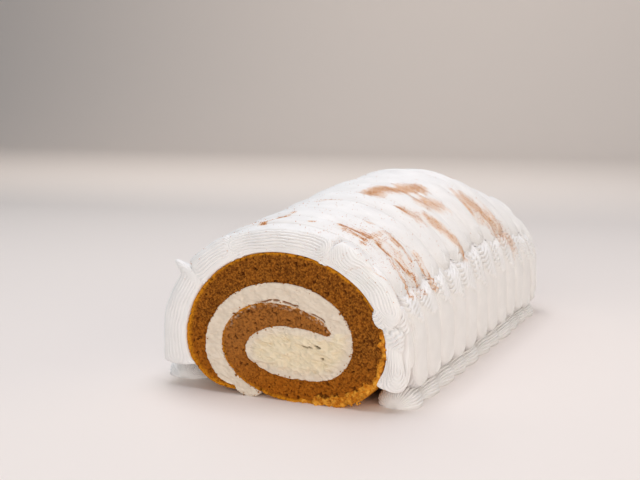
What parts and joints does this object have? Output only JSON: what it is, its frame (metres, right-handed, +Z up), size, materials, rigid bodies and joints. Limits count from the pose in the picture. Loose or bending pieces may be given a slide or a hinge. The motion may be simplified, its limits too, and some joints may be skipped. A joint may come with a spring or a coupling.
{
  "type": "swiss roll cake",
  "caption": "Whole iced swiss roll cake: spiced sponge rolled round cream, coated in piped icing strokes with a ruffled border along each foot.",
  "frame": {"origin": "centre of the footprint, on the plate's surface under the cake", "axes": "+Y along the roll, away from the cut face that is taken as the front; +X to the right of that face; +Z up"},
  "size_m": [0.1376, 0.266, 0.0977],
  "materials": {
    "sponge": "baked sponge: porous matt brown crumb inside a smooth golden skin",
    "cream": "whipped cream filling, ivory, soft satin with torn edges at the cut",
    "icing": "piped whipped icing, white, soft satin with fine comb ridges and a dusting of cinnamon on top"
  },
  "bodies": {
    "root": {"sponge_roll": "sponge", "cream_filling": "cream", "icing_coat": "icing", "front_rim_side": "icing", "front_rim_shoulder": "icing", "front_rim_top": "icing", "front_rim_slope": "icing", "front_rim_left": "icing", "back_rim_side": "icing", "back_rim_shoulder": "icing", "back_rim_top": "icing", "back_rim_slope": "icing", "back_rim_left": "icing", "border_right": "icing", "border_left": "icing"}
  },
  "joints": []
}
